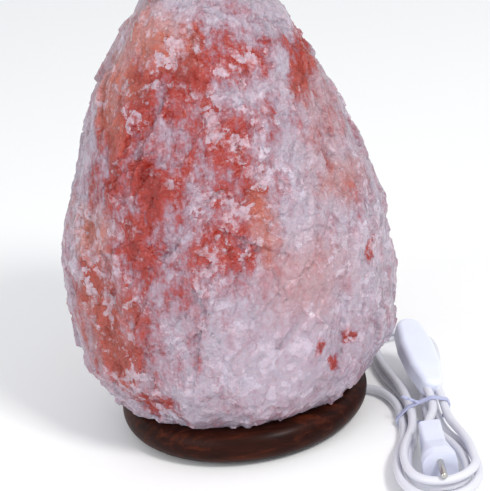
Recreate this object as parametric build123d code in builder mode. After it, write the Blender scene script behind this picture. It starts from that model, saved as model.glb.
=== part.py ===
from build123d import *
import os
from math import cos, pi, radians, sin, tan

os.makedirs("parts", exist_ok=True)

# Salt crystal lamp, millimetres.  +Z is up and Z = 0 is the surface it stands on.  The origin is
# on the axis of the turned base.  The cord leaves towards +X; the front is -Y.

# Turned wooden base
base_diameter = 190.0
base_top = 28.0
pad_thickness = 2.0
pad_diameter = 18.0
pad_circle = 144.0
pad_count = 4
base_edge_flat = 1.0
recess_diameter = 76.0
recess_depth = 14.0
centre_hole_diameter = 20.0

# Mains lead
cord_diameter = 6.5
groove_clearance = 1.3
groove_width = cord_diameter + 2 * groove_clearance
cord_channel_height = 5.5
lead_bend = 20.0
lead_end_height = 35.5
free_start_x = 79.0

# Rock salt crystal, resting on the base
crystal_height = 316.0
crystal_width = 250.0
crystal_depth = 216.0
chip_size = 30.0
chip_depth = 1.6
chip_lean = 0.055
ledge_count = 14
ledge_depth = 6.5
ledge_lean = 0.2
bore_diameter = 66.0
bore_depth = 154.0
bore_mouth_chamfer = 3.0

# Lamp holder and its fixing
plate_diameter = 56.0
plate_thickness = 1.5
plate_screw_circle = 42.0
plate_screw_count = 3
screw_hole_clearance = 0.3
wood_screw_diameter = 3.5
wood_screw_length = 11.0
wood_screw_head = 7.0
wood_screw_head_height = 2.2
tube_outer = 10.0
tube_bore = 7.2
tube_top = 36.0
nut_across_flats = 14.0
nut_height = 2.5
cap_foot_diameter = 16.0
holder_diameter = 28.0
cap_height = 22.0
cap_wall = 1.6
skirt_height = 26.0
skirt_wall = 1.8
skirt_rim = 31.0
skirt_rim_height = 4.0
insert_height = 15.0
insert_clearance = 0.2
insert_foot = 6.0
shell_bore = 14.3
shell_wall = 0.5
shell_height = 19.0
contact_thickness = 0.6
contact_width = 5.0
terminal_diameter = 3.0
terminal_spacing = 12.0

# Candle bulb
bulb_diameter = 35.0
bulb_length = 100.0
bulb_cap_diameter = 13.9
bulb_cap_height = 18.0
bulb_cap_wall = 0.4
bulb_neck = bulb_cap_diameter - 2 * bulb_cap_wall
glass_wall = 0.8
insulator_height = 3.5
insulator_tip = 7.0
tip_contact_diameter = 4.6
tip_contact_height = 1.6
stem_height = 34.0
stem_diameter = 8.0
filament_length = 16.0
filament_diameter = 0.9

# Cord clamp in the recess
clamp_length = 24.0
clamp_width = 9.0
clamp_strap_thickness = 0.8
clamp_position = 28.0
clamp_screw_spacing = 16.0
clamp_screw_length = 9.0

# Twist tie round the waist of the hank
tie_width = 4.0
tie_thickness = 1.0
tie_clearance = 0.3
tie_y = -58.0
tie_tail_length = 15.0
tie_tail_width = 2.6
tie_tail_twist = 540.0
tie_tail_steps = 24

# Hank of cord beside the lamp
hank_x = 130.0
hank_y = -56.0
last_turn = 2.375
whole_turns = 3.0
strand_step = 7.6
layer_step = 6.95
waist_half_width = 15.3
lobe_half_width = 30.0
back_reach = 146.0
front_reach = 128.5
front_fan = 6.0
upper_lead = 3.0
front_rise = 8.45
climb_start = 1.375
climb_turns = 0.25
hank_straight = 10.0
hank_gap_limit = 0.4

# In-line switch
switch_centre = (137.0, -5.7, 28.4)
switch_axis = (-0.126, 0.958, 0.259)
switch_normal = (0.247, -0.222, 0.944)
switch_rounds = [(-31.0, 9.0), (-12.0, 12.6), (10.0, 13.5), (29.0, 11.0)]
switch_length = 80.0
switch_thickness = 17.0
switch_wall = 1.8
switch_edge = 4.5
switch_cord_spacing = 8.6
entry_depth = 9.0
nose_length = 12.0
switch_screw_places = (-24.0, 31.0)
switch_screw_diameter = 2.6
switch_screw_head = 4.6
switch_screw_sink = 2.2
switch_screw_length = 9.0
rocker_place = 6.0
rocker_length = 17.0
rocker_width = 9.0
rocker_rise = 2.0
rocker_clearance = 0.5
rocker_swing = 14.0
rocker_pin_depth = 4.6
rocker_pin_diameter = 2.0
rocker_pin_clearance = 0.05
contact_leaf = 0.6

# Plug with two round pins
plug_back = (129.5, -112.1, 21.13)
plug_dip = 4.0
plug_length = 52.0
plug_flange = 8.0
plug_face_width = 25.0
plug_face_height = 34.0
plug_grip_width = 16.0
plug_grip_height = 22.0
plug_grip_length = 26.0
plug_pin_diameter = 4.8
plug_pin_length = 19.0
plug_pin_spacing = 19.0
plug_pin_depth = 12.0
plug_entry_depth = 8.0

# ---------------------------------------------------------------- turned wooden base
base_bottom = pad_thickness
base_height = base_top - base_bottom
base_radius = base_diameter / 2
edge_radius = (base_height - base_edge_flat) / 2
recess_top = base_bottom + recess_depth

with BuildPart() as wood_base:
    with BuildSketch(Plane.XZ):
        with BuildLine():
            Polyline((0, base_bottom), (base_radius, base_bottom), (base_radius, base_top), (0, base_top),
                     close=True)
        make_face()
        fillet(vertices().sort_by(Axis.X)[-2:], edge_radius)
    revolve(axis=Axis.Z)
    with BuildSketch(Plane.XY.offset(base_bottom)):
        Circle(recess_diameter / 2)
    extrude(amount=recess_depth, mode=Mode.SUBTRACT)
    with BuildSketch(Plane.XY.offset(base_bottom)):
        Circle(centre_hole_diameter / 2)
    extrude(amount=base_height, mode=Mode.SUBTRACT)
    # groove for the cord, with a round top, from the recess out through the edge
    with BuildSketch(Plane.YZ):
        with Locations((0, cord_channel_height)):
            Circle(groove_width / 2)
        with Locations((0, (base_bottom + cord_channel_height) / 2)):
            Rectangle(groove_width, cord_channel_height - base_bottom)
    extrude(amount=base_radius, mode=Mode.SUBTRACT)
    # pilot holes for the plate screws
    with BuildSketch(Plane.XY.offset(base_top)):
        with PolarLocations(plate_screw_circle / 2, plate_screw_count, start_angle=60):
            Circle(wood_screw_diameter / 2)
    extrude(amount=-wood_screw_length, mode=Mode.SUBTRACT)
    # pilot holes for the clamp screws
    with BuildSketch(Plane.XY.offset(recess_top)):
        with Locations((clamp_position, clamp_screw_spacing / 2), (clamp_position, -clamp_screw_spacing / 2)):
            Circle(wood_screw_diameter / 2)
    extrude(amount=clamp_screw_length, mode=Mode.SUBTRACT)
wood_base.part.label = "wood_base"
export_step(wood_base.part, "parts/wood_base.step")

with BuildPart() as base_pads:
    with BuildSketch():
        with PolarLocations(pad_circle / 2, pad_count, start_angle=45):
            Circle(pad_diameter / 2)
    extrude(amount=pad_thickness)
base_pads.part.label = "base_pads"
export_step(base_pads.part, "parts/base_pads.step")

# ---------------------------------------------------------------- rock salt crystal
# Level sections of the unhewn block: share of its height, share of its width, share of its depth,
# and how far its middle stands off the axis in X and Y.
crystal_levels = [
    (0.0, 0.725, 0.755, -1.0, 0.5),
    (0.045, 0.844, 0.882, 0.0, -0.5),
    (0.133, 0.964, 0.966, 1.0, -0.5),
    (0.266, 1.0, 1.0, 1.5, 0.5),
    (0.418, 0.99, 0.985, 0.5, 1.5),
    (0.544, 0.912, 0.917, 0.0, 2.5),
    (0.658, 0.816, 0.843, -1.2, 2.5),
    (0.772, 0.671, 0.73, 1.5, 1.5),
    (0.873, 0.571, 0.604, -0.4, 0.5),
    (0.949, 0.448, 0.458, 1.0, -1.5),
    (1.0, 0.296, 0.3, -1.5, -3.5),
]


def skin_at(height, angle):
    """A place on the unhewn block, from the nearest two of its level sections."""
    share = min(max(height / crystal_height, 0.0), 1.0)
    for lower, upper in zip(crystal_levels, crystal_levels[1:]):
        if share <= upper[0]:
            step = (share - lower[0]) / (upper[0] - lower[0])
            break
    width, depth, middle_x, middle_y = [low + (high - low) * step for low, high in zip(lower[1:], upper[1:])]
    return Vector(middle_x + crystal_width / 2 * width * cos(angle),
                  middle_y + crystal_depth / 2 * depth * sin(angle), base_top + height)


def outward_at(height, angle):
    """The direction square to the unhewn block."""
    above = min(height + chip_size / 5, crystal_height)
    around = skin_at(height, angle + 0.01) - skin_at(height, angle - 0.01)
    upward = skin_at(above, angle) - skin_at(height - chip_size / 5, angle)
    return around.cross(upward).normalized()


def uneven(number, kind):
    """A fixed value between -1 and 1 that differs from chip to chip."""
    return sin(12.9898 * number + 4.1414 * kind) * cos(78.233 * number + 1.7 * kind)


def chip_faces():
    """The planes of the chips, struck off in rows from the foot of the block to its top."""
    faces = []
    height = chip_size / 5
    row = 0
    while height < crystal_height:
        across = skin_at(height, 0.0) - skin_at(height, pi)
        along = skin_at(height, pi / 2) - skin_at(height, -pi / 2)
        count = max(3, round(pi / 2 * (across.length + along.length) / chip_size))
        for chip in range(count):
            number = len(faces) + 1
            angle = 2 * pi * (chip + 0.5 * (row % 2) + 0.3 * uneven(number, 1)) / count
            level = min(max(height + 0.2 * chip_size * uneven(number, 2), 0.0), crystal_height)
            outward = outward_at(level, angle)
            lean = Vector(uneven(number, 3), uneven(number, 4), uneven(number, 5)) * chip_lean
            depth = chip_depth * (1 + 0.8 * uneven(number, 6))
            faces.append(Plane(origin=skin_at(level, angle) - outward * depth, z_dir=outward + lean))
        height += 0.86 * chip_size * outward_at(height, 0.0).cross(Vector(0, 0, 1)).length
        row += 1
    return faces


def ledge_floor(number):
    """The floor of a cleaved ledge; its wall stands along the plane's x direction."""
    height = crystal_height * (0.06 + 0.81 * (number + 0.5) / ledge_count)
    angle = 2.4 * number + 0.6
    outward = outward_at(height, angle)
    fall = outward.cross(Vector(0.4 * uneven(number, 7), 0.4 * uneven(number, 8), 1)).normalized()
    fall = fall.rotate(Axis((0, 0, 0), outward), 40 * uneven(number, 9) + 90 * (number % 2))
    depth = ledge_depth * (1 + 0.25 * uneven(number, 10))
    return Plane(origin=skin_at(height, angle) - outward * depth, x_dir=outward.cross(fall),
                 z_dir=outward - fall * ledge_lean)


with BuildPart() as salt_crystal:
    with BuildSketch(Plane.XY.offset(base_top)):
        Rectangle(1.1 * crystal_width, 1.1 * crystal_depth)
    extrude(amount=crystal_height)
    for chip_face in chip_faces():
        split(bisect_by=chip_face, keep=Keep.BOTTOM)
    for number in range(ledge_count):
        with BuildSketch(ledge_floor(number)):
            Rectangle(crystal_width, crystal_width / 2, align=(Align.CENTER, Align.MAX))
        extrude(amount=4 * ledge_depth, mode=Mode.SUBTRACT)
    with BuildSketch(Plane.XY.offset(base_top)):
        Circle(bore_diameter / 2)
    extrude(amount=bore_depth, mode=Mode.SUBTRACT)
    bore_edge = edges().filter_by(GeomType.CIRCLE).sort_by(Axis.Z)[0]
    chamfer(bore_edge, bore_mouth_chamfer)
salt_crystal.part.label = "salt_crystal"
export_step(salt_crystal.part, "parts/salt_crystal.step")

# ---------------------------------------------------------------- holder fixing
plate_top = base_top + plate_thickness

with BuildPart() as holder_plate:
    with BuildSketch(Plane.XY.offset(base_top)):
        Circle(plate_diameter / 2)
        Circle(tube_outer / 2 + screw_hole_clearance / 2, mode=Mode.SUBTRACT)
        with PolarLocations(plate_screw_circle / 2, plate_screw_count, start_angle=60):
            Circle(wood_screw_diameter / 2 + screw_hole_clearance, mode=Mode.SUBTRACT)
    extrude(amount=plate_thickness)
    fillet(edges().group_by(Axis.Z)[-1].sort_by(SortBy.LENGTH)[-1], plate_thickness * 0.6)
holder_plate.part.label = "holder_plate"
export_step(holder_plate.part, "parts/holder_plate.step")

with BuildPart() as plate_screws:
    with BuildSketch(Plane.XY.offset(plate_top)):
        with PolarLocations(plate_screw_circle / 2, plate_screw_count, start_angle=60):
            Circle(wood_screw_head / 2)
    extrude(amount=wood_screw_head_height, taper=18)
    with BuildSketch(Plane.XY.offset(plate_top)):
        with PolarLocations(plate_screw_circle / 2, plate_screw_count, start_angle=60):
            Circle(wood_screw_diameter / 2)
    extrude(amount=-(wood_screw_length - 1.0))
plate_screws.part.label = "plate_screws"
export_step(plate_screws.part, "parts/plate_screws.step")

tube_bottom = cord_channel_height + lead_bend
with BuildPart() as threaded_tube:
    with BuildSketch(Plane.XY.offset(tube_bottom)):
        Circle(tube_outer / 2)
        Circle(tube_bore / 2, mode=Mode.SUBTRACT)
    extrude(amount=tube_top - tube_bottom)
threaded_tube.part.label = "threaded_tube"
export_step(threaded_tube.part, "parts/threaded_tube.step")

with BuildPart() as lock_nut:
    with BuildSketch(Plane.XY.offset(base_top)):
        RegularPolygon(nut_across_flats / 2, 6, major_radius=False)
        Circle(tube_outer / 2, mode=Mode.SUBTRACT)
    extrude(amount=-nut_height)
lock_nut.part.label = "lock_nut"
export_step(lock_nut.part, "parts/lock_nut.step")

# ---------------------------------------------------------------- lamp holder
cap_top = plate_top + cap_height
holder_radius = holder_diameter / 2
cap_floor = plate_top + 3.0

with BuildPart() as holder_cap:
    with BuildSketch(Plane.XZ):
        with BuildLine():
            Polyline((tube_outer / 2, plate_top), (cap_foot_diameter / 2, plate_top),
                     (cap_foot_diameter / 2, plate_top + 2.0), (holder_radius, plate_top + 9.0),
                     (holder_radius, cap_top), (holder_radius - cap_wall, cap_top),
                     (holder_radius - cap_wall, plate_top + 9.6), (cap_foot_diameter / 2, cap_floor),
                     (tube_outer / 2, cap_floor), close=True)
        make_face()
        fillet(vertices().filter_by(lambda v: abs(v.Y - plate_top - 9.0) < 0.01), 3.0)
    revolve(axis=Axis.Z)
holder_cap.part.label = "holder_cap"
export_step(holder_cap.part, "parts/holder_cap.step")

insert_bottom = cap_top - insert_height
insert_radius = holder_radius - cap_wall - insert_clearance
shell_outer = shell_bore + 2 * shell_wall
bulb_bottom = cap_top + contact_thickness + 0.2

with BuildPart() as holder_insert:
    with BuildSketch(Plane.XY.offset(insert_bottom + insert_foot)):
        Circle(insert_radius)
    extrude(amount=insert_height - insert_foot)
    with BuildSketch(Plane.XY.offset(cap_top)):
        Circle(shell_outer / 2 + 1.6)
        Circle(shell_outer / 2, mode=Mode.SUBTRACT)
    extrude(amount=insert_foot)
    # two posts carry the terminals below
    with BuildSketch(Plane.XY.offset(insert_bottom + insert_foot)):
        with Locations((terminal_spacing / 2, 0), (-terminal_spacing / 2, 0)):
            RectangleRounded(6.5, 9.0, 1.0)
    extrude(amount=-insert_foot)
    with BuildSketch(Plane.XZ):
        with Locations((terminal_spacing / 2, insert_bottom + insert_foot / 2),
                       (-terminal_spacing / 2, insert_bottom + insert_foot / 2)):
            Circle(terminal_diameter / 2)
    extrude(amount=6.0, both=True, mode=Mode.SUBTRACT)
holder_insert.part.label = "holder_insert"
export_step(holder_insert.part, "parts/holder_insert.step")

with BuildPart() as terminal_screws:
    with BuildSketch(Plane.XZ.offset(4.5)):
        with Locations((terminal_spacing / 2, insert_bottom + insert_foot / 2),
                       (-terminal_spacing / 2, insert_bottom + insert_foot / 2)):
            Circle(terminal_diameter / 2 + 0.9)
    extrude(amount=1.2)
    with BuildSketch(Plane.XZ.offset(4.5)):
        with Locations((terminal_spacing / 2, insert_bottom + insert_foot / 2),
                       (-terminal_spacing / 2, insert_bottom + insert_foot / 2)):
            Circle(terminal_diameter / 2)
    extrude(amount=-8.0)
terminal_screws.part.label = "terminal_screws"
export_step(terminal_screws.part, "parts/terminal_screws.step")

with BuildPart() as holder_thread:
    with BuildSketch(Plane.XY.offset(cap_top)):
        Circle(shell_outer / 2)
        Circle(shell_bore / 2, mode=Mode.SUBTRACT)
    extrude(amount=shell_height)
holder_thread.part.label = "holder_thread"
export_step(holder_thread.part, "parts/holder_thread.step")

with BuildPart() as centre_contact:
    with BuildSketch(Plane.XY.offset(cap_top)):
        RectangleRounded(shell_bore * 0.7, contact_width, 1.0)
    extrude(amount=contact_thickness)
centre_contact.part.label = "centre_contact"
export_step(centre_contact.part, "parts/centre_contact.step")

skirt_top = cap_top + skirt_height
with BuildPart() as holder_skirt:
    with BuildSketch(Plane.XZ):
        with BuildLine():
            Polyline((holder_radius - skirt_wall, cap_top), (holder_radius, cap_top),
                     (holder_radius, skirt_top - skirt_rim_height - 1.5),
                     (skirt_rim / 2, skirt_top - skirt_rim_height), (skirt_rim / 2, skirt_top),
                     (holder_radius - skirt_wall, skirt_top), close=True)
        make_face()
        fillet(vertices().sort_by(Axis.X)[-2:], 0.8)
    revolve(axis=Axis.Z)
    # grip ribs round the outside
    with BuildSketch(Plane.XY.offset(cap_top + 3.0)):
        with PolarLocations(holder_radius, 24):
            Rectangle(0.8, 1.4)
    extrude(amount=skirt_height - skirt_rim_height - 8.0)
holder_skirt.part.label = "holder_skirt"
export_step(holder_skirt.part, "parts/holder_skirt.step")

# ---------------------------------------------------------------- candle bulb
bulb_cap_radius = bulb_cap_diameter / 2
tip_top = bulb_bottom + tip_contact_height
insulator_top = tip_top + insulator_height
bulb_cap_top = insulator_top + bulb_cap_height
bulb_top = bulb_bottom + bulb_length
neck_radius = bulb_neck / 2
belly_height = bulb_cap_top + (bulb_top - bulb_cap_top) * 0.36

with BuildPart() as bulb_contact:
    with BuildSketch(Plane.XZ):
        with BuildLine():
            Line((0, tip_top), (0, bulb_bottom))
            ThreePointArc((0, bulb_bottom),
                          (tip_contact_diameter * 0.36, bulb_bottom + tip_contact_height * 0.45),
                          (tip_contact_diameter / 2, tip_top))
            Line((tip_contact_diameter / 2, tip_top), (0, tip_top))
        make_face()
    revolve(axis=Axis.Z)
bulb_contact.part.label = "bulb_contact"
export_step(bulb_contact.part, "parts/bulb_contact.step")

with BuildPart() as bulb_insulator:
    with BuildSketch(Plane.XY.offset(tip_top)):
        Circle(insulator_tip / 2)
    with BuildSketch(Plane.XY.offset(insulator_top)):
        Circle(bulb_cap_radius - bulb_cap_wall)
    loft()
bulb_insulator.part.label = "bulb_insulator"
export_step(bulb_insulator.part, "parts/bulb_insulator.step")

with BuildPart() as bulb_cap:
    with BuildSketch(Plane.XY.offset(insulator_top)):
        Circle(bulb_cap_radius)
        Circle(bulb_cap_radius - bulb_cap_wall, mode=Mode.SUBTRACT)
    extrude(amount=bulb_cap_height)
bulb_cap.part.label = "bulb_cap"
export_step(bulb_cap.part, "parts/bulb_cap.step")


def bulb_outline(inset):
    """Half outline of the flame-shaped glass, drawn in by the given wall."""
    foot = bulb_cap_top - 6.0 + inset
    Line((0, foot), (neck_radius - inset, foot))
    Line((neck_radius - inset, foot), (neck_radius - inset, bulb_cap_top + 3.0))
    ThreePointArc((neck_radius - inset, bulb_cap_top + 3.0),
                  (bulb_diameter / 2 * 0.86 - inset, bulb_cap_top + (belly_height - bulb_cap_top) * 0.55),
                  (bulb_diameter / 2 - inset, belly_height))
    TangentArc((bulb_diameter / 2 - inset, belly_height), (5.0 - inset, bulb_top - 6.0), tangent=(0, 1))
    Line((5.0 - inset, bulb_top - 6.0), (0, bulb_top - inset))
    Line((0, bulb_top - inset), (0, foot))


with BuildPart() as bulb_glass:
    with BuildSketch(Plane.XZ):
        with BuildLine():
            bulb_outline(0.0)
        make_face()
    revolve(axis=Axis.Z)
    with BuildSketch(Plane.XZ):
        with BuildLine():
            bulb_outline(glass_wall)
        make_face()
    revolve(axis=Axis.Z, mode=Mode.SUBTRACT)
bulb_glass.part.label = "bulb_glass"
export_step(bulb_glass.part, "parts/bulb_glass.step")

stem_foot = bulb_cap_top - 6.0 + 2 * glass_wall
with BuildPart() as bulb_stem:
    with BuildSketch(Plane.XY.offset(stem_foot - glass_wall)):
        Circle(stem_diameter / 2)
    extrude(amount=8.0)
    with BuildSketch(Plane.XY.offset(stem_foot + 8.0 - glass_wall)):
        Circle(stem_diameter / 4)
    extrude(amount=stem_height - 14.0)
    # lead wires up to the filament
    with BuildSketch(Plane.XY.offset(stem_foot + 2.0)):
        with Locations((filament_length / 4, 0), (-filament_length / 4, 0)):
            Circle(0.45)
    extrude(amount=stem_height - 2.0)
bulb_stem.part.label = "bulb_stem"
export_step(bulb_stem.part, "parts/bulb_stem.step")

filament_height = stem_foot + stem_height + filament_diameter / 2
with BuildPart() as bulb_filament:
    with BuildSketch(Plane.YZ.offset(-filament_length / 2)):
        with Locations((0, filament_height)):
            Circle(filament_diameter / 2)
    extrude(amount=filament_length)
bulb_filament.part.label = "bulb_filament"
export_step(bulb_filament.part, "parts/bulb_filament.step")

# ---------------------------------------------------------------- cord tubes
def corner_radii(points):
    """The largest arc that each corner of a route allows: 0.45 of its shorter run."""
    radii = []
    for before, corner, after in zip(points, points[1:], points[2:]):
        arriving = Vector(*corner) - Vector(*before)
        leaving = Vector(*after) - Vector(*corner)
        turn = radians(arriving.get_angle(leaving))
        radii.append(0.45 * min(arriving.length, leaving.length) / tan(turn / 2))
    return radii


def cord_tube(name, points, radii):
    """A stretch of cord: straight runs joined by arcs, printed with its radii and its volume."""
    with BuildPart() as tube:
        with BuildLine() as line:
            FilletPolyline(*points, radius=radii)
        path = line.wire()
        with BuildSketch(Plane(origin=path @ 0, z_dir=path % 0)):
            Circle(cord_diameter / 2)
        sweep(path=path)
    tube.part.label = name
    section = pi * cord_diameter ** 2 / 4
    print(f"{name}: length {path.length:.1f} mm, arcs", [round(r, 1) for r in radii],
          f"volume / (section x length) {tube.part.volume / (section * path.length):.4f}")
    export_step(tube.part, f"parts/{name}.step")


lead_route = [(free_start_x, 0, cord_channel_height), (0, 0, cord_channel_height), (0, 0, lead_end_height)]
cord_tube("lead_inside", lead_route, [lead_bend])

# ---------------------------------------------------------------- hank
# The hank lies on the surface beside the lamp, its length along Y, drawn in at the waist.  u runs
# towards the back and w to the right of the waist, and the inset is how far a strand lies inside
# the outermost one.  The strand starts at the left of the waist towards the front, spirals in on
# the surface, climbs a layer along the right side and spirals out again on top.  The front lobe
# is lifted, because its strands pass between the two pins of the plug.
floor_layer = cord_diameter / 2 + tie_thickness + tie_clearance + 0.1


def inset_at(turn):
    return strand_step * min(turn, whole_turns - turn)


def hank_node(turn):
    """Place and direction of the strand at an eighth of a turn, counted from the left of the waist."""
    eighth = round((turn % 1.0) * 8)
    width = lobe_half_width - inset_at(turn)
    waist = waist_half_width - inset_at(turn)
    fan = front_fan if turn < 1.0 else 0.0
    lead = upper_lead if turn > 2.0 else 0.0
    front_end = front_reach - inset_at(int(turn) + 0.25)
    back_end = back_reach - inset_at(int(turn) + 0.75)
    u, w, du, dw = [
        (0.0, -waist, -1.0, 0.0),
        (width - front_end + lead, -width, -1.0, 0.0),
        (-front_end - fan, 0.0, 0.0, 1.0),
        (width - front_end, width, 1.0, 0.0),
        (0.0, waist, 1.0, 0.0),
        (back_end - width, width, 1.0, 0.0),
        (back_end, 0.0, 0.0, -1.0),
        (back_end - width, -width, -1.0, 0.0),
    ][eighth]
    lift = front_rise if eighth in (1, 2, 3) else 0.0
    layer = min(max((turn - climb_start) / climb_turns, 0.0), 1.0)
    place = Vector(hank_x + w, hank_y + u, floor_layer + layer_step * layer + lift)
    return place, Vector(dw, du, 0)


def biarc(start, start_heading, end, end_heading):
    """Two arcs that leave start and reach end along their headings and meet on one tangent."""
    span = end - start
    across = span.dot(start_heading + end_heading)
    spread = 2 * (1 - start_heading.dot(end_heading))
    if spread < 1e-9:
        reach = span.dot(span) / (4 * span.dot(end_heading))
    else:
        reach = (-across + (across ** 2 + spread * span.dot(span)) ** 0.5) / spread
    first_corner = start + start_heading * reach
    second_corner = end - end_heading * reach
    middle = (first_corner + second_corner) * 0.5
    TangentArc(start, middle, tangent=start_heading)
    TangentArc(middle, end, tangent=(second_corner - first_corner).normalized())


hank_nodes = [hank_node(eighth / 8) for eighth in range(round(last_turn * 8) + 1)]
first_node, first_heading = hank_nodes[0]
last_node, last_heading = hank_nodes[-1]
hank_start = first_node - first_heading * hank_straight
hank_end = last_node + last_heading * cord_diameter

with BuildPart() as cord_hank:
    with BuildLine() as hank_line:
        Line(hank_start, first_node)
        for (start, leaving), (end, arriving) in zip(hank_nodes, hank_nodes[1:]):
            biarc(start, leaving, end, arriving)
        Line(last_node, hank_end)
    hank_path = hank_line.wire()
    with BuildSketch(Plane(origin=hank_start, z_dir=first_heading)):
        Circle(cord_diameter / 2)
    sweep(path=hank_path)
cord_hank.part.label = "cord_hank"
export_step(cord_hank.part, "parts/cord_hank.step")


def least_gap(path, spacing=2.0):
    """The least gap between the surfaces of strands, measured on points along the path."""
    count = int(path.length / spacing)
    points = [path.position_at(i / count) for i in range(count + 1)]
    apart = int(4 * cord_diameter / spacing)
    nearest = min((points[i] - points[j]).length
                  for i in range(len(points)) for j in range(i + apart, len(points)))
    return nearest - cord_diameter


hank_arcs = [edge.radius for edge in hank_path.edges() if edge.geom_type == GeomType.CIRCLE]
hank_share = cord_hank.part.volume / (pi * cord_diameter ** 2 / 4 * hank_path.length)
print(f"cord_hank: length {hank_path.length:.1f} mm, tightest arc {min(hank_arcs):.1f} mm,"
      f" least gap {least_gap(hank_path):.2f} mm, wanted over {hank_gap_limit},"
      f" volume / (section x length) {hank_share:.4f}")

# ---------------------------------------------------------------- free stretches of the cord
switch_plane = Plane(origin=switch_centre, x_dir=switch_axis, z_dir=switch_normal)
plug_axis = Vector(0, -cos(radians(plug_dip)), -sin(radians(plug_dip)))
plug_plane = Plane(origin=plug_back, x_dir=(1, 0, 0), z_dir=plug_axis)


def switch_point(along, side):
    return tuple(switch_plane.from_local_coords(Vector(along, side, 0)))


entry_x = -switch_length / 2
entry_side = switch_cord_spacing / 2
free_route = [(free_start_x, 0, cord_channel_height), (92.0, 0, cord_channel_height), (104.0, -7.8, 5.3),
              (111.1, -21.3, 5.0), (hank_start.X, -36.5, hank_start.Z), tuple(hank_start)]
switch_route = [tuple(hank_end), tuple(hank_end + last_heading * 12), (153.2, -119.0, 19.3),
                (150.6, -102.0, 17.0), (148.2, -85.0, 14.2), (147.4, -69.0, 12.2),
                switch_point(entry_x - entry_depth, -entry_side),
                switch_point(entry_x + entry_depth, -entry_side)]
tail_route = [switch_point(entry_x + entry_depth, entry_side),
              switch_point(entry_x - entry_depth, entry_side), (138.0, -67.0, 15.6), (134.6, -80.0, 17.2),
              (131.0, -91.5, 20.2), tuple(Vector(*plug_back) - plug_axis * 10),
              tuple(Vector(*plug_back) + plug_axis * plug_entry_depth)]

cord_tube("cord_free", free_route, corner_radii(free_route))
cord_tube("cord_to_switch", switch_route, corner_radii(switch_route))
cord_tube("cord_tail", tail_route, corner_radii(tail_route))

# ---------------------------------------------------------------- twist tie
tie_strands = [(114.7, floor_layer), (122.3, floor_layer), (122.3, floor_layer + layer_step), (133.9, 8.1),
               (141.5, floor_layer), (147.35, 13.5), (147.35, 14.25), (138.65, 16.1), (138.75, 16.7)]
tie_knot = Vector(128.0, tie_y, 17.6)
tie_heading = Vector(-0.80, -0.20, 0.56).normalized()


def tie_ring(radius):
    """The hull of circles round all the strands that the tie holds."""
    with Locations(*tie_strands):
        Circle(radius)
    make_hull()


with BuildPart() as twist_tie:
    with BuildSketch(Plane.XZ.offset(-tie_y)):
        tie_ring(cord_diameter / 2 + tie_clearance + tie_thickness)
    extrude(amount=tie_width / 2, both=True)
    with BuildSketch(Plane.XZ.offset(-tie_y)):
        tie_ring(cord_diameter / 2 + tie_clearance)
    extrude(amount=tie_width / 2, both=True, mode=Mode.SUBTRACT)
    # the two ends are twisted together and stand off to the left
    for step in range(tie_tail_steps + 1):
        share = step / tie_tail_steps
        station = Plane(origin=tie_knot + tie_heading * (tie_tail_length * share), z_dir=tie_heading)
        with BuildSketch(station):
            Rectangle(tie_tail_width, tie_thickness, rotation=tie_tail_twist * share)
    loft(ruled=True)
twist_tie.part.label = "twist_tie"
export_step(twist_tie.part, "parts/twist_tie.step")

# ---------------------------------------------------------------- in-line switch
half_thickness = switch_thickness / 2
slot_length = rocker_length + 2 * rocker_clearance
slot_width = rocker_width + 2 * rocker_clearance
nose_end = -switch_length / 2 + nose_length


def half_shell(outward):
    """One half of the case, hollow behind a solid nose round the two cords; outward is 1 or -1."""
    with BuildPart() as shell:
        with BuildSketch(switch_plane):
            for place, radius in switch_rounds:
                with Locations((place, 0)):
                    Circle(radius)
            make_hull()
        extrude(amount=outward * half_thickness)
        rim = shell.faces().sort_by(Axis(switch_plane.origin, switch_plane.z_dir * outward))[-1]
        fillet(rim.edges(), switch_edge)
        with BuildSketch(switch_plane):
            for place, radius in switch_rounds:
                with Locations((place, 0)):
                    Circle(radius - switch_wall)
            make_hull()
            with Locations((nose_end - nose_length, 0)):
                Rectangle(2 * nose_length, 2 * nose_length, mode=Mode.SUBTRACT)
            with Locations(*((place, 0) for place in switch_screw_places)):
                Circle(switch_screw_head / 2 + switch_wall, mode=Mode.SUBTRACT)
        extrude(amount=outward * (half_thickness - 2 * switch_wall), mode=Mode.SUBTRACT)
        mouth = Plane(origin=switch_point(-switch_length / 2, 0), x_dir=switch_plane.y_dir,
                      z_dir=switch_plane.x_dir)
        with BuildSketch(mouth):
            with GridLocations(switch_cord_spacing, 1, 2, 1):
                Circle(cord_diameter / 2)
        extrude(amount=entry_depth, mode=Mode.SUBTRACT)
        with BuildSketch(switch_plane):
            with Locations(*((place, 0) for place in switch_screw_places)):
                Circle(switch_screw_diameter / 2)
        extrude(amount=outward * (switch_screw_length if outward < 0 else half_thickness - 2 * switch_wall),
                mode=Mode.SUBTRACT)
    return shell.part


with BuildPart() as switch_upper_shell:
    add(half_shell(1))
switch_upper_shell.part.label = "switch_upper_shell"
export_step(switch_upper_shell.part, "parts/switch_upper_shell.step")

pin_plane = Plane(origin=switch_plane.from_local_coords(Vector(rocker_place, 0, -rocker_pin_depth)),
                  x_dir=switch_plane.x_dir, z_dir=-switch_plane.y_dir)
screw_face = switch_plane.offset(-half_thickness)

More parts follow.
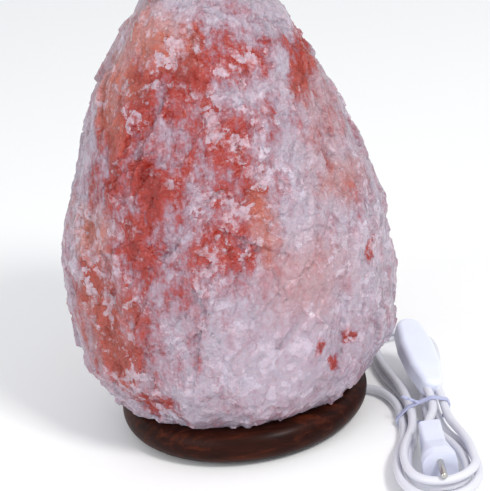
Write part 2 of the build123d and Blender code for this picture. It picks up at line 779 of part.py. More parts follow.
with BuildPart() as switch_lower_shell:
    add(half_shell(-1))
    # two ears inside hold the pin of the rocker
    with BuildSketch(switch_plane.offset(-half_thickness + switch_wall)):
        with Locations((rocker_place, 0)):
            Rectangle(6.0, slot_width + 4.0)
            Rectangle(6.0, slot_width, mode=Mode.SUBTRACT)
    extrude(amount=half_thickness - switch_wall - 1.0)
    with BuildSketch(screw_face):
        with Locations((rocker_place, 0)):
            Rectangle(slot_length, slot_width)
    extrude(amount=2 * switch_wall, mode=Mode.SUBTRACT)
    with BuildSketch(pin_plane):
        Circle(rocker_pin_diameter / 2)
    extrude(amount=slot_width / 2 + 2.0, both=True, mode=Mode.SUBTRACT)
    with BuildSketch(screw_face):
        with Locations(*((place, 0) for place in switch_screw_places)):
            Circle(switch_screw_head / 2)
    extrude(amount=switch_screw_sink, mode=Mode.SUBTRACT)
switch_lower_shell.part.label = "switch_lower_shell"
export_step(switch_lower_shell.part, "parts/switch_lower_shell.step")

with BuildPart() as rocker_pin:
    with BuildSketch(pin_plane):
        Circle(rocker_pin_diameter / 2)
    extrude(amount=slot_width / 2 + 2.0, both=True)
rocker_pin.part.label = "rocker_pin"
export_step(rocker_pin.part, "parts/rocker_pin.step")

# The rocker is drawn tipped to one end of its swing, square to the pin.
tipped = pin_plane.x_dir.rotate(Axis((0, 0, 0), pin_plane.z_dir), rocker_swing / 2)
rocker_plane = Plane(origin=pin_plane.origin, x_dir=tipped, z_dir=pin_plane.z_dir)
rocker_top = half_thickness - rocker_pin_depth + rocker_rise
with BuildPart() as switch_rocker:
    with BuildSketch(rocker_plane):
        with BuildLine():
            Polyline((-rocker_length / 2, 0), (-rocker_length / 2, -rocker_top), (0, -rocker_top + 1.0),
                     (rocker_length / 2, -rocker_top), (rocker_length / 2, 0), (2.2, 2.2), (-2.2, 2.2),
                     close=True)
        make_face()
        Circle(rocker_length / 2, mode=Mode.INTERSECT)
        Circle(rocker_pin_diameter / 2 + rocker_pin_clearance, mode=Mode.SUBTRACT)
    extrude(amount=rocker_width / 2, both=True)
switch_rocker.part.label = "switch_rocker"
export_step(switch_rocker.part, "parts/switch_rocker.step")

with BuildPart() as switch_screws:
    with BuildSketch(screw_face.offset(switch_screw_sink)):
        with Locations(*((place, 0) for place in switch_screw_places)):
            Circle(switch_screw_head / 2)
    extrude(amount=-1.6)
    with BuildSketch(screw_face.offset(switch_screw_sink)):
        with Locations(*((place, 0) for place in switch_screw_places)):
            Circle(switch_screw_diameter / 2)
    extrude(amount=switch_screw_length)
switch_screws.part.label = "switch_screws"
export_step(switch_screws.part, "parts/switch_screws.step")

with BuildPart() as switch_contacts:
    with BuildSketch(switch_plane.offset(half_thickness - 2 * switch_wall)):
        with Locations((rocker_place - 8.0, 0), (rocker_place + 8.0, 0)):
            Rectangle(7.0, 4.0)
    extrude(amount=-contact_leaf)
switch_contacts.part.label = "switch_contacts"
export_step(switch_contacts.part, "parts/switch_contacts.step")

# ---------------------------------------------------------------- plug
flange_start = plug_length - plug_flange
with BuildPart() as plug_body:
    with BuildSketch(plug_plane):
        RectangleRounded(plug_grip_width, plug_grip_height, 2.5)
    extrude(amount=plug_grip_length)
    with BuildSketch(plug_plane.offset(plug_grip_length)):
        RectangleRounded(plug_grip_width, plug_grip_height, 2.5)
    with BuildSketch(plug_plane.offset(flange_start)):
        RectangleRounded(plug_face_width, plug_face_height, 10.0)
    loft()
    with BuildSketch(plug_plane.offset(flange_start)):
        RectangleRounded(plug_face_width, plug_face_height, 10.0)
    extrude(amount=plug_flange)
    with BuildSketch(plug_plane):
        Circle(cord_diameter / 2)
    extrude(amount=plug_entry_depth, mode=Mode.SUBTRACT)
    with BuildSketch(plug_plane.offset(plug_length)):
        with GridLocations(1, plug_pin_spacing, 1, 2):
            Circle(plug_pin_diameter / 2)
    extrude(amount=-plug_pin_depth, mode=Mode.SUBTRACT)
    # grip grooves across both broad sides
    for groove in range(5):
        with BuildSketch(plug_plane.offset(5.0 + 3.6 * groove)):
            with GridLocations(plug_grip_width, 1, 2, 1):
                Rectangle(1.4, plug_grip_height - 6.0)
        extrude(amount=1.5, mode=Mode.SUBTRACT)
plug_body.part.label = "plug_body"
export_step(plug_body.part, "parts/plug_body.step")

with BuildPart() as plug_pins:
    with BuildSketch(plug_plane.offset(plug_length - plug_pin_depth)):
        with GridLocations(1, plug_pin_spacing, 1, 2):
            Circle(plug_pin_diameter / 2)
    extrude(amount=plug_pin_depth + plug_pin_length)
    tips = plug_pins.faces().sort_by(Axis(plug_plane.origin, plug_plane.z_dir))[-2:]
    fillet(tips.edges(), plug_pin_diameter * 0.3)
plug_pins.part.label = "plug_pins"
export_step(plug_pins.part, "parts/plug_pins.step")

# ---------------------------------------------------------------- cord clamp in the recess
strap_outer = cord_diameter / 2 + clamp_strap_thickness
clamp_holes = [(clamp_position, clamp_screw_spacing / 2), (clamp_position, -clamp_screw_spacing / 2)]
with BuildPart() as clamp_block:
    with BuildSketch(Plane.YZ.offset(clamp_position - clamp_width / 2)):
        with Locations((0, (cord_channel_height + recess_top) / 2)):
            Rectangle(clamp_length, recess_top - cord_channel_height)
        with Locations((0, cord_channel_height)):
            Circle(cord_diameter / 2, mode=Mode.SUBTRACT)
    extrude(amount=clamp_width)
    with BuildSketch(Plane.XY.offset(cord_channel_height)):
        with Locations(*clamp_holes):
            Circle(wood_screw_diameter / 2 + screw_hole_clearance)
    extrude(amount=recess_top - cord_channel_height, mode=Mode.SUBTRACT)
clamp_block.part.label = "clamp_block"
export_step(clamp_block.part, "parts/clamp_block.step")

with BuildPart() as clamp_strap:
    with BuildSketch(Plane.YZ.offset(clamp_position - clamp_width / 2)):
        with Locations((0, cord_channel_height)):
            Circle(strap_outer)
        with Locations((0, cord_channel_height + strap_outer / 2)):
            Rectangle(2 * strap_outer, strap_outer, mode=Mode.SUBTRACT)
        with Locations((0, cord_channel_height - clamp_strap_thickness / 2)):
            Rectangle(clamp_length, clamp_strap_thickness)
        with Locations((0, cord_channel_height)):
            Circle(cord_diameter / 2, mode=Mode.SUBTRACT)
    extrude(amount=clamp_width)
    with BuildSketch(Plane.XY.offset(cord_channel_height)):
        with Locations(*clamp_holes):
            Circle(wood_screw_diameter / 2 + screw_hole_clearance)
    extrude(amount=-clamp_strap_thickness, mode=Mode.SUBTRACT)
clamp_strap.part.label = "clamp_strap"
export_step(clamp_strap.part, "parts/clamp_strap.step")

strap_underside = cord_channel_height - clamp_strap_thickness
with BuildPart() as clamp_screws:
    with BuildSketch(Plane.XY.offset(strap_underside)):
        with Locations(*clamp_holes):
            Circle(wood_screw_head / 2)
    extrude(amount=-wood_screw_head_height, taper=18)
    with BuildSketch(Plane.XY.offset(strap_underside)):
        with Locations(*clamp_holes):
            Circle(wood_screw_diameter / 2)
    extrude(amount=recess_top - strap_underside + clamp_screw_length - 1.0)
clamp_screws.part.label = "clamp_screws"
export_step(clamp_screws.part, "parts/clamp_screws.step")
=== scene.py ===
import math

import bpy
from mathutils import Matrix, Vector, noise


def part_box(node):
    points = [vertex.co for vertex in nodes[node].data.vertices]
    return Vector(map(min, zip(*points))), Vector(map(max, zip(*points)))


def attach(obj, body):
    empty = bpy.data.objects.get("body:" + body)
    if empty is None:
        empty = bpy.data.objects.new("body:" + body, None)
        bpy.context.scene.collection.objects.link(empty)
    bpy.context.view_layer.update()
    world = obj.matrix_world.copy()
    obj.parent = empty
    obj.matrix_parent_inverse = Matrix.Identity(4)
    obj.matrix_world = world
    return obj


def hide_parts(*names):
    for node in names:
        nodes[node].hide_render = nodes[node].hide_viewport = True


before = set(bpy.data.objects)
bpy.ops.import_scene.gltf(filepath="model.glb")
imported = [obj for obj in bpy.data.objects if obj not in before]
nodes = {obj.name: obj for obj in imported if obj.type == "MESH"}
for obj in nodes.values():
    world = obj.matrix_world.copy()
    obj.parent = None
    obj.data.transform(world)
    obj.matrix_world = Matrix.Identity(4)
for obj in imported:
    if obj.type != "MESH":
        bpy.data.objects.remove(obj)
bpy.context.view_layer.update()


# ---------------------------------------------------------------- turned wooden base
# A disc of dark hardwood, turned with a round edge, stained nearly black and given a thin lacquer.
# The grain runs along X, in bands of redder brown.  Four dark felt pads keep it off the surface.

class Wire:
    """A socket of a finish: sums on it add Math nodes, node() adds any other node."""

    def __init__(self, tree, socket):
        self.tree, self.socket = tree, socket

    def node(self, kind, settings=None, out=0, **inputs):
        made = self.tree.nodes.new("ShaderNode" + kind)
        for name, value in (settings or {}).items():
            if name == "stops":
                for _ in value[2:]:
                    made.color_ramp.elements.new(0.5)
                for stop, (place, colour) in zip(made.color_ramp.elements, value):
                    stop.position = place
                    stop.color = colour
            else:
                setattr(made, name, value)
        for name, value in inputs.items():
            index = int(name[2:]) if name.startswith("at") else name.replace("_", " ")
            target = made.inputs[index]
            if isinstance(value, Wire):
                self.tree.links.new(value.socket, target)
            else:
                target.default_value = value
        return Wire(self.tree, made.outputs[out])

    def sum(self, operation, other):
        return self.node("Math", {"operation": operation}, at0=self, at1=other)

    def __add__(self, other):
        return self.sum("ADD", other)

    def __mul__(self, other):
        return self.sum("MULTIPLY", other)

    def __sub__(self, other):
        return self.sum("SUBTRACT", other)

    def __rsub__(self, other):
        return self.node("Math", {"operation": "SUBTRACT"}, at0=other, at1=self)

    __radd__ = __add__

    def vector(self, operation, other, out=0):
        """A vector worked out from this one and another."""
        return self.node("VectorMath", {"operation": operation}, out, at0=self, at1=other)

    def between(self, low, high):
        """0 below low, 1 above high, smooth in between."""
        return self.node("MapRange", {"interpolation_type": "SMOOTHSTEP"},
                         Value=self, From_Min=low, From_Max=high)

    def blend(self, first, second):
        """A colour from first to second, by this value."""
        return self.node("Mix", {"data_type": "RGBA"}, out=2, at0=self, at6=first, at7=second)


def paint(*seen):
    """An opaque colour in the renderer's own values, from red, green and blue as seen, 0 to 255."""
    shares = [channel / 255 for channel in seen]
    linear = [share / 12.92 if share <= 0.04 else ((share + 0.055) / 1.055) ** 2.4
              for share in shares]
    return (*linear, 1.0)


def new_finish(name, roughness=0.5, metallic=0.0, **fixed):
    """A new finish: its material, its shader and its place on the object."""
    material = bpy.data.materials.new(name)
    material.use_nodes = True
    shader = material.node_tree.nodes["Principled BSDF"]
    shader.inputs["Roughness"].default_value = roughness
    shader.inputs["Metallic"].default_value = metallic
    for socket, value in fixed.items():
        shader.inputs[socket.replace("_", " ")].default_value = value
    texture = material.node_tree.nodes.new("ShaderNodeTexCoord")
    return material, shader, Wire(material.node_tree, texture.outputs["Object"])


def feed(shader, socket, wire):
    wire.tree.links.new(wire.socket, shader.inputs[socket])


def raise_surface(shader, height, distance, strength=1.0):
    """Fine relief of the surface, in metres."""
    feed(shader, "Normal", height.node("Bump", Height=height, Distance=distance, Strength=strength))


def dress(finish, *names):
    for name in names:
        piece = nodes[name]
        for slot in piece.material_slots:
            slot.material = finish


walnut, walnut_shader, place = new_finish("lacquered_dark_wood", 0.35, Coat_Weight=0.05,
                                          Coat_Roughness=0.25, Specular_IOR_Level=0.06)
along_grain = place.node("Mapping", at3=(2.2, 26.0, 26.0), Vector=place)
rings = place.node("TexNoise", Vector=along_grain,
                   Scale=6.0, Detail=7.0, Roughness=0.62, Distortion=0.5)
pores = place.node("Mapping", at3=(18.0, 260.0, 260.0), Vector=place)
pores = place.node("TexNoise", Vector=pores, Scale=4.0, Detail=3.0)
dark_to_red_brown = [(0.3, paint(28, 10, 6)), (0.52, paint(44, 17, 10)), (0.72, paint(78, 33, 17))]
wood_colour = rings.node("ValToRGB", {"stops": dark_to_red_brown}, Fac=rings)
wood_colour = (pores.between(0.56, 0.68) * 0.55).blend(wood_colour, paint(26, 10, 8))
feed(walnut_shader, "Base Color", wood_colour)
feed(walnut_shader, "Roughness", 0.28 + rings * 0.25)
raise_surface(walnut_shader, pores * 0.6 + rings, 0.0002)
dress(walnut, "wood_base")

felt, felt_shader, place = new_finish("dark_felt", 0.95)
fibres = place.node("TexNoise", Vector=place, Scale=900.0, Detail=4.0)
feed(felt_shader, "Base Color", fibres.blend(paint(28, 26, 24), paint(60, 56, 52)))
raise_surface(felt_shader, fibres, 0.0006)
dress(felt, "base_pads")

# ---------------------------------------------------------------- rock salt crystal
# One hewn block of pink rock salt, chipped all over by hand.  It is bored out from below for the
# bulb and rests on the base by its own weight.  Iron red runs through it in clouds and mottles,
# amber lies beside the red, and milky white grains with painted glints lie over both.
crystal_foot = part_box("salt_crystal")[0][2]
bore_radius = 0.033
bore_top = 0.182
smooth_rim = 0.006
grain_edge = 0.0017
# sizes of the small chips, and how steeply they lean
chips = ((0.034, 0.10), (0.016, 0.13), (0.0085, 0.12))

rough_block = bpy.data.objects.new("rough_block", nodes["salt_crystal"].data.copy())
bpy.context.scene.collection.objects.link(rough_block)
fine = rough_block.modifiers.new("fine_mesh", "REMESH")
fine.mode = "VOXEL"
fine.voxel_size = grain_edge
worn = rough_block.modifiers.new("worn_edges", "SMOOTH")
worn.factor = 0.5
worn.iterations = 5
evaluated = rough_block.evaluated_get(bpy.context.evaluated_depsgraph_get())
rock_mesh = bpy.data.meshes.new_from_object(evaluated)
bpy.data.objects.remove(rough_block)


def chipped(point, size, steepness):
    """Height of small chipped faces: each cell of the rock is a plane with its own lean."""
    scaled = point / size
    centre = noise.voronoi(scaled)[1][0]
    lean = noise.noise_vector(centre * 7.31 + Vector((3.1, 1.7, 9.2))).normalized()
    return steepness * size * lean.dot(scaled - centre)


noise.seed_set(5)  # the chips lean the same way on every run
outward = [vertex.normal.copy() for vertex in rock_mesh.vertices]
for vertex, normal in zip(rock_mesh.vertices, outward):
    place = vertex.co.copy()
    in_bore = (math.hypot(place.x, place.y) < bore_radius + smooth_rim
               and place.z < bore_top + smooth_rim)
    faces_down = normal.z < -0.9
    if not in_bore and not faces_down:
        # the cleavage leans to the right going up, and its faces are longer than wide
        cleaved = Vector((place.x - 0.35 * place.z, place.y, 0.6 * place.z))
        height = sum(chipped(cleaved, size, steepness) for size, steepness in chips)
        height += (0.0011 * noise.fractal(place * 60.0, 1.0, 2.0, 2)
                   + 0.0003 * noise.noise(place * 420.0))
        place += normal * (height + 0.0006)
        vertex.co = (place.x, place.y, max(place.z, crystal_foot))
rock_mesh.update()
rock = bpy.data.objects.new("rock_salt_block", rock_mesh)
bpy.context.scene.collection.objects.link(rock)
for face in rock_mesh.polygons:
    face.use_smooth = True

salt, salt_shader, place = new_finish("rock_salt", 0.4, Subsurface_Weight=0.4,
                                      Subsurface_Scale=0.008,
                                      Subsurface_Radius=(1.0, 0.42, 0.36), IOR=1.54)
# clouds in the salt, each with a middle, a reach along X, Y and Z, and a strength
red_clouds = [
    ((-0.030, -0.070, 0.265), (0.070, 0.06, 0.062), 0.52),
    ((-0.060, -0.075, 0.195), (0.045, 0.06, 0.060), 0.5),
    ((-0.086, -0.065, 0.110), (0.034, 0.06, 0.060), 0.6),
    ((0.000, -0.090, 0.205), (0.040, 0.05, 0.050), 0.5),
    ((-0.016, -0.062, 0.298), (0.046, 0.04, 0.024), 0.85),
    ((0.018, -0.060, 0.306), (0.030, 0.04, 0.018), 0.7),
    ((-0.040, -0.055, 0.290), (0.018, 0.04, 0.013), 1.0),
    ((-0.002, -0.054, 0.318), (0.011, 0.04, 0.009), 1.1),
    ((-0.060, -0.060, 0.262), (0.030, 0.05, 0.040), 0.7),
    ((-0.046, -0.078, 0.228), (0.022, 0.04, 0.032), 0.9),
    ((-0.060, -0.080, 0.186), (0.018, 0.04, 0.034), 0.85),
    ((0.010, -0.085, 0.245), (0.026, 0.04, 0.032), 0.75),
    ((0.012, -0.092, 0.212), (0.026, 0.04, 0.032), 0.85),
    ((-0.008, -0.096, 0.182), (0.024, 0.04, 0.028), 0.7),
    ((0.033, -0.087, 0.217), (0.006, 0.03, 0.007), 1.3),
    ((0.014, -0.095, 0.176), (0.007, 0.03, 0.012), 0.9),
    ((-0.098, -0.060, 0.140), (0.016, 0.05, 0.030), 0.8),
    ((-0.085, -0.072, 0.105), (0.020, 0.05, 0.026), 0.95),
    ((-0.088, -0.062, 0.084), (0.018, 0.05, 0.020), 0.9),
    ((-0.070, -0.075, 0.054), (0.016, 0.04, 0.018), 0.85),
    ((0.072, -0.030, 0.286), (0.012, 0.05, 0.026), 0.9),
    ((0.059, -0.094, 0.095), (0.006, 0.03, 0.006), 1.3),
    ((0.083, -0.076, 0.088), (0.005, 0.03, 0.006), 1.1),
    ((0.065, -0.083, 0.074), (0.004, 0.03, 0.005), 1.0),
    ((0.103, -0.056, 0.152), (0.005, 0.03, 0.005), 0.9),
    ((0.060, 0.090, 0.200), (0.060, 0.06, 0.080), 0.7),
    ((-0.070, 0.090, 0.110), (0.060, 0.06, 0.060), 0.7),
    ((-0.020, 0.070, 0.290), (0.050, 0.05, 0.035), 0.8)]
amber_clouds = [
    ((-0.037, -0.041, 0.322), (0.034, 0.05, 0.020), 0.9),
    ((-0.060, -0.030, 0.300), (0.020, 0.04, 0.024), 0.8),
    ((-0.070, -0.035, 0.276), (0.012, 0.05, 0.030), 0.8),
    ((-0.098, -0.053, 0.182), (0.018, 0.05, 0.022), 1.0),
    ((-0.095, -0.060, 0.120), (0.026, 0.06, 0.050), 0.45),
    ((0.086, -0.054, 0.203), (0.022, 0.05, 0.016), 0.55),
    ((0.056, -0.092, 0.148), (0.036, 0.04, 0.030), 0.45),
    ((0.080, -0.050, 0.255), (0.020, 0.06, 0.050), 0.35),
    ((0.030, -0.090, 0.190), (0.010, 0.04, 0.035), 0.7),
    ((0.080, 0.060, 0.090), (0.040, 0.05, 0.040), 0.6)]
mid_noise = (0.5, 0.5, 0.5)
drift = place.node("TexNoise", out=1, Vector=place, Scale=30.0, Detail=5.0, Roughness=0.6)
drift = drift.vector("SUBTRACT", mid_noise).vector("MULTIPLY", (0.045, 0.045, 0.045))
stirred = place.vector("ADD", drift)


def clouded(clouds):
    """How much of a colour lies at a place: the strongest of its clouds."""
    share = None
    for middle, reach, strength in clouds:
        offset = stirred.vector("SUBTRACT", middle).vector("DIVIDE", reach)
        away = offset.node("VectorMath", {"operation": "LENGTH"}, out=1, at0=offset)
        cloud = (1.0 - away.between(0.2, 1.6)) * strength
        share = cloud if share is None else share.sum("MAXIMUM", cloud)
    return share


slanted = place.node("Mapping", at2=(0.0, 0.35, 0.0), at3=(1.0, 1.0, 0.45), Vector=place)
mottle = place.node("TexNoise", Vector=slanted, Scale=62.0, Detail=8.0, Roughness=0.7)
flecks = place.node("TexNoise", Vector=place, Scale=190.0, Detail=5.0, Roughness=0.62)
milk = place.node("TexNoise", Vector=slanted, Scale=24.0, Detail=7.0, Roughness=0.64)
grains, grain_middle, small_grains, small_middle = [
    place.node("TexVoronoi", {"feature": "F1"}, out, Vector=stirred, Scale=fineness)
    for fineness in (130.0, 340.0) for out in (1, 2)]
grain_share = grains.node("SeparateColor", at0=grains)
# at the lower right the salt is clear and milky, with little mottle and relief
calm = 1.0 - clouded([((0.045, -0.090, 0.095), (0.070, 0.06, 0.075), 0.7)])
redness = (clouded(red_clouds) * 0.72 + (mottle - 0.5) * calm * 2.1 + (flecks - 0.5) * 0.7
           + (grain_share - 0.5) * 0.1 + 0.12)
pale_to_iron_red = [(0.05, paint(175, 160, 174)), (0.3, paint(161, 126, 140)),
                    (0.46, paint(154, 78, 86)), (0.62, paint(160, 38, 24)),
                    (0.86, paint(136, 20, 9))]
salt_colour = redness.node("ValToRGB", {"stops": pale_to_iron_red}, Fac=redness)
amber = clouded(amber_clouds) * (0.35 + mottle * 0.9)
salt_colour = amber.sum("MINIMUM", 0.85).blend(salt_colour, paint(182, 104, 84))
# painted highlight: this whitish mask is partly the salt's milky white and partly painted glints,
# with a painted brightness for each grain's facet
frost_and_painted_glints = (milk * 0.75 + grain_share * 0.25 + (flecks - 0.5) * 0.5).between(0.53, 0.7) * 0.62
salt_colour = frost_and_painted_glints.blend(salt_colour, paint(210, 199, 214))
feed(salt_shader, "Base Color", salt_colour)
feed(salt_shader, "Roughness", 0.04 + flecks * 0.36)


def glassy_faces(lean, middle, steepness):
    """Height of cleaved crystal faces: each grain is a plane with its own lean."""
    offset = stirred.vector("SUBTRACT", middle)
    return lean.vector("SUBTRACT", mid_noise).vector("DOT_PRODUCT", offset, out=1) * steepness


relief = glassy_faces(grains, grain_middle, 0.55) + glassy_faces(small_grains, small_middle, 0.45)
raise_surface(salt_shader, (relief + flecks * 0.0007 + mottle * 0.0014) * calm, 1.0, 0.95)
rock_mesh.materials.clear()
rock_mesh.materials.append(salt)
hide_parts("salt_crystal")
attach(rock, "crystal")

# ---------------------------------------------------------------- lamp holder and its fixing
# A zinc-plated carrier plate is screwed to the base; a threaded tube and nut hold the moulded
# holder with its porcelain insert, nickel-plated threaded shell and brass contacts.


def metal(name, colour, roughness, scratch):
    """Bare or plated metal: cloudy in its colour and its shine."""
    finish, shader, place = new_finish(name, roughness, 1.0)
    dull = [int(channel * 0.86) for channel in colour]
    cloud = place.node("TexNoise", Vector=place, Scale=260.0, Detail=6.0)
    feed(shader, "Base Color", cloud.blend(paint(*colour), paint(*dull)))
    feed(shader, "Roughness", roughness + cloud * scratch)
    raise_surface(shader, cloud, 0.0001)
    return finish


def moulding(name, colour, shade, roughness=0.35):
    """Moulded plastic or china: a faint cloud in its colour and a fine skin."""
    finish, shader, place = new_finish(name, roughness)
    cloud = place.node("TexNoise", Vector=place, Scale=60.0, Detail=4.0)
    skin = place.node("TexNoise", Vector=place, Scale=1400.0, Detail=3.0)
    feed(shader, "Base Color", cloud.blend(paint(*colour), paint(*shade)))
    feed(shader, "Roughness", roughness + skin * 0.12)
    raise_surface(shader, skin, 0.00008)
    return finish


zinc = metal("zinc_plated_steel", (176, 178, 182), 0.3, 0.25)
brass = metal("bare_brass", (205, 168, 96), 0.25, 0.2)
nickel = metal("nickel_plate", (200, 198, 192), 0.16, 0.16)
dress(zinc, "holder_plate", "plate_screws", "threaded_tube", "lock_nut", "clamp_strap",
      "clamp_screws", "switch_screws", "rocker_pin")
dress(brass, "terminal_screws", "centre_contact", "bulb_contact", "switch_contacts")
dress(nickel, "holder_thread", "bulb_cap", "plug_pins")
cream = moulding("cream_moulding", (226, 221, 208), (214, 207, 192))
china = moulding("unglazed_china", (228, 224, 212), (212, 206, 192), 0.6)
black = moulding("black_moulding", (34, 34, 36), (24, 24, 26), 0.5)
dress(cream, "holder_cap", "holder_skirt")
dress(china, "holder_insert")
dress(black, "clamp_block")

# ---------------------------------------------------------------- candle bulb
# A clear flame-shaped bulb with a threaded cap, a black glass insulator and a coiled filament on a
# glass stem.  It turns out of the holder when the crystal is off.
clear, clear_shader, place = new_finish("clear_bulb_glass", 0.03, Transmission_Weight=0.95,
                                        IOR=1.45)
dust = place.node("TexNoise", Vector=place, Scale=220.0, Detail=4.0)
feed(clear_shader, "Base Color", dust.blend(paint(246, 248, 247), paint(232, 236, 234)))
feed(clear_shader, "Roughness", 0.02 + dust * 0.06)
dress(clear, "bulb_glass", "bulb_stem")
black_glass = moulding("black_glass", (26, 26, 30), (18, 18, 20), 0.12)
dress(black_glass, "bulb_insulator")
tungsten = metal("tungsten_wire", (120, 118, 116), 0.4, 0.2)
dress(tungsten, "bulb_filament")

# ---------------------------------------------------------------- mains lead
# A round white lead, 6.5 mm thick.  It leaves the groove under the base, joins the outside of a
# hank of about two and a half turns, and ends in the narrow end of the in-line switch; a second
# stretch runs from the switch to the plug.  The hank is tied at its waist.
lead_thickness = 0.0065
white = moulding("white_lead", (223, 223, 231), (208, 208, 218), 0.34)
dress(white, "lead_inside")

hank_x, hank_y = 0.130, -0.056
lobe_half_width = 0.030
waist_half_width = 0.0153
front_reach = 0.1285
back_reach = 0.146
first_turn_fan = 0.006
last_turn_lead = 0.003
front_lift = 0.00845
strand_step = 0.0076
layer_step = 0.00695
lowest_strand = 0.00465


def inset_at(turn):
    """How far inside the hank's outline a turn lies: inwards first, then out again on top."""
    return strand_step * min(turn, 3.0 - turn)


def hank_place(turn):
    """Place and heading of the strand at an eighth of a turn, from the left of the waist."""
    eighth = round((turn % 1.0) * 8)
    width = lobe_half_width - inset_at(turn)
    waist = waist_half_width - inset_at(turn)
    fan = first_turn_fan if turn < 1.0 else 0.0
    lead = last_turn_lead if turn > 2.0 else 0.0
    front = front_reach - inset_at(int(turn) + 0.25)
    back = back_reach - inset_at(int(turn) + 0.75)
    u, w, du, dw = [
        (0, -waist, -1, 0), (width - front + lead, -width, -1, 0),
        (-front - fan, 0, 0, 1), (width - front, width, 1, 0),
        (0, waist, 1, 0), (back - width, width, 1, 0),
        (back, 0, 0, -1), (back - width, -width, -1, 0)][eighth]
    lift = front_lift if eighth in (1, 2, 3) else 0.0
    layer = min(max((turn - 1.375) / 0.25, 0.0), 1.0)
    height = lowest_strand + layer_step * layer + lift
    return Vector((hank_x + w, hank_y + u, height)), Vector((dw, du, 0))


hank_points = []
eighths_in_hank = 19
for eighth in range(eighths_in_hank):
    start, leaving = hank_place(eighth / 8)
    end, arriving = hank_place((eighth + 1) / 8)
    span = end - start
    across = span.dot(leaving + arriving)
    spread = 2 * (1 - leaving.dot(arriving))
    if spread < 1e-9:
        reach = span.length_squared / (4 * span.dot(arriving))
    else:
        reach = (-across + math.sqrt(across ** 2 + spread * span.length_squared)) / spread
    hank_points += [start + leaving * reach, end - arriving * reach]


def lay_cord(name, route):
    """A lead along a smooth line through the middle of a route's runs."""
    curve = bpy.data.curves.new(name, "CURVE")
    curve.dimensions = "3D"
    curve.bevel_depth = lead_thickness / 2
    curve.bevel_resolution = 6
    curve.use_fill_caps = True
    line = curve.splines.new("NURBS")
    line.points.add(len(route) - 1)
    for point, where in zip(line.points, route):
        point.co = (*where, 1.0)
    line.order_u = 3
    line.use_endpoint_u = True
    line.resolution_u = 10
    piece = bpy.data.objects.new(name, curve)
    bpy.context.scene.collection.objects.link(piece)
    curve.materials.append(white)
    return piece


lamp_lead = lay_cord("lamp_lead", [
    (0.0790, 0, 0.0055), (0.0920, 0, 0.0055), (0.1040, -0.0078, 0.0053), (0.1111, -0.0213, 0.0050),
    (0.1147, -0.0365, 0.00465), (0.1147, -0.0460, 0.00465), *hank_points,
    (0.15525, -0.14705, 0.02005), (0.15525, -0.13505, 0.02005), (0.1532, -0.1190, 0.0193),
    (0.1506, -0.1020, 0.0170), (0.1482, -0.0850, 0.0142), (0.1474, -0.0690, 0.0122),
    (0.14731, -0.05185, 0.01485), (0.14504, -0.03461, 0.01950)])
plug_lead = lay_cord("plug_lead", [
    (0.13678, -0.03618, 0.02129), (0.13905, -0.05342, 0.01664), (0.1380, -0.0670, 0.0156),
    (0.1346, -0.0800, 0.0172), (0.1310, -0.0915, 0.0202), (0.1295, -0.10212, 0.02183),
    (0.1295, -0.12008, 0.02057)])
for piece, *replaced in ((lamp_lead, "cord_free", "cord_hank", "cord_to_switch"),
                         (plug_lead, "cord_tail")):
    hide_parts(*replaced)
    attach(piece, "stand")

# A flat plastic tie with a wire core holds the waist; its ends are twisted together.
tie = moulding("pale_tie", (190, 194, 222), (172, 176, 210), 0.3)
dress(tie, "twist_tie")

# ---------------------------------------------------------------- in-line switch
# Two white half shells screwed together from below, with a rocker in the lower one.  The rocker
# is a warmer grey than the shells, darkened with painted shade from its shaded face, and tips on a
# steel pin.
shell = moulding("white_shell", (231, 235, 251), (219, 223, 243), 0.3)
dress(shell, "switch_upper_shell", "switch_lower_shell")
# painted shade: the rocker's grey is its own warmer tone darkened to how its face looked in shadow
rocker = moulding("grey_rocker_with_painted_shade", (176, 170, 158), (160, 154, 142), 0.35)
dress(rocker, "switch_rocker")

# ---------------------------------------------------------------- plug
# A moulded two-pin plug with grip grooves, in the lead's white.  Its pins are nickel-plated brass
# and share their finish with the bulb's cap.
plug = moulding("white_plug", (222, 225, 241), (208, 211, 232), 0.32)
dress(plug, "plug_body")

# ---------------------------------------------------------------- floor, light and camera
# A plain pale floor under a white sky, one soft light from the front right and a weaker one from
# the front left, and a camera that looks down on the lamp, slightly tilted.
floor_mesh = bpy.data.meshes.new("floor")
floor_reach = 6
floor_corners = [(x * floor_reach, y * floor_reach, 0)
                 for x, y in ((-1, -1), (1, -1), (1, 1), (-1, 1))]
floor_mesh.from_pydata(floor_corners, [], [(0, 1, 2, 3)])
floor = bpy.data.objects.new("floor", floor_mesh)
bpy.context.scene.collection.objects.link(floor)
floor_finish, floor_shader, place = new_finish("pale_floor", 0.8)
floor_shader.inputs["Base Color"].default_value = (0.97, 0.97, 0.97, 1.0)
floor_mesh.materials.append(floor_finish)

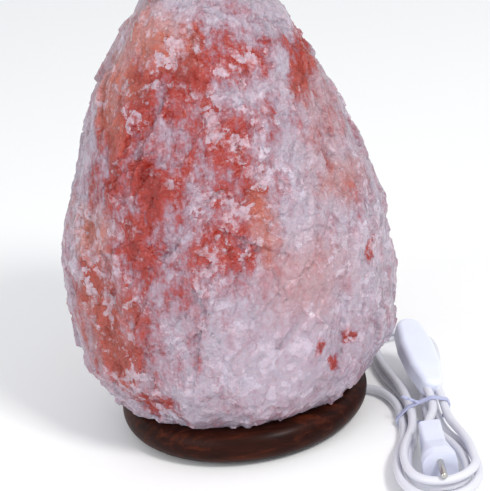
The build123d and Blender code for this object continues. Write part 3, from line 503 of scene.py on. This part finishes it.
world = bpy.data.worlds.new("studio")
bpy.context.scene.world = world
world.use_nodes = True
studio = world.node_tree
rays = studio.nodes.new("ShaderNodeLightPath")
camera_ray, glossy_ray, glass_ray = [Wire(studio, rays.outputs[f"Is {kind} Ray"])
                                     for kind in ("Camera", "Glossy", "Transmission")]
seen = camera_ray.sum("MAXIMUM", glossy_ray).sum("MAXIMUM", glass_ray)
soft_sky = studio.nodes["Background"]
soft_sky.inputs["Color"].default_value = (0.95, 0.97, 1.0, 1.0)
soft_sky.inputs["Strength"].default_value = 0.75
white_sky = seen.node("Background", at0=(1.0, 1.0, 1.0, 1.0), at1=1.0)
sky = seen.node("MixShader", at0=seen, at1=Wire(studio, soft_sky.outputs[0]), at2=white_sky)
studio.links.new(sky.socket, studio.nodes["World Output"].inputs["Surface"])


def soft_light(name, place, size, power, colour):
    """A square light of some size in metres and power in watts, facing the lamp."""
    lamp = bpy.data.lights.new(name, "AREA")
    lamp.shape = "SQUARE"
    lamp.size = size
    lamp.energy = power
    lamp.color = colour
    holder = bpy.data.objects.new(name, lamp)
    holder.location = place
    towards_lamp = Vector((0, 0, 0.15)) - Vector(place)
    holder.rotation_euler = towards_lamp.to_track_quat("-Z", "Y").to_euler()
    bpy.context.scene.collection.objects.link(holder)


soft_light("key", (0.9, -1.3, 1.7), size=0.45, power=27, colour=(1.0, 0.99, 0.97))
soft_light("fill", (-1.4, -1.2, 1.0), size=1.2, power=10, colour=(0.95, 0.97, 1.0))

photo_width = 490
focal_length = 2000  # in the photograph's pixels
camera_data = bpy.data.cameras.new("camera")
camera_data.sensor_fit = "HORIZONTAL"
camera_data.angle = 2 * math.atan(photo_width / 2 / focal_length)
camera = bpy.data.objects.new("camera", camera_data)
bpy.context.scene.collection.objects.link(camera)
eye = Vector((0.0, -1.379, 0.736))
ahead = (Vector((0.0149, 0.0597, 0.1118)) - eye).normalized()
side = ahead.cross(Vector((0, 0, 1))).normalized()
up = side.cross(ahead)
tilt = math.radians(7.05)
level = side * math.cos(tilt) - up * math.sin(tilt)
upright = up * math.cos(tilt) + side * math.sin(tilt)
facing = Matrix((level, upright, -ahead)).transposed().to_4x4()
camera.matrix_world = Matrix.Translation(eye) @ facing
bpy.context.scene.camera = camera
bpy.context.scene.view_settings.view_transform = "Standard"
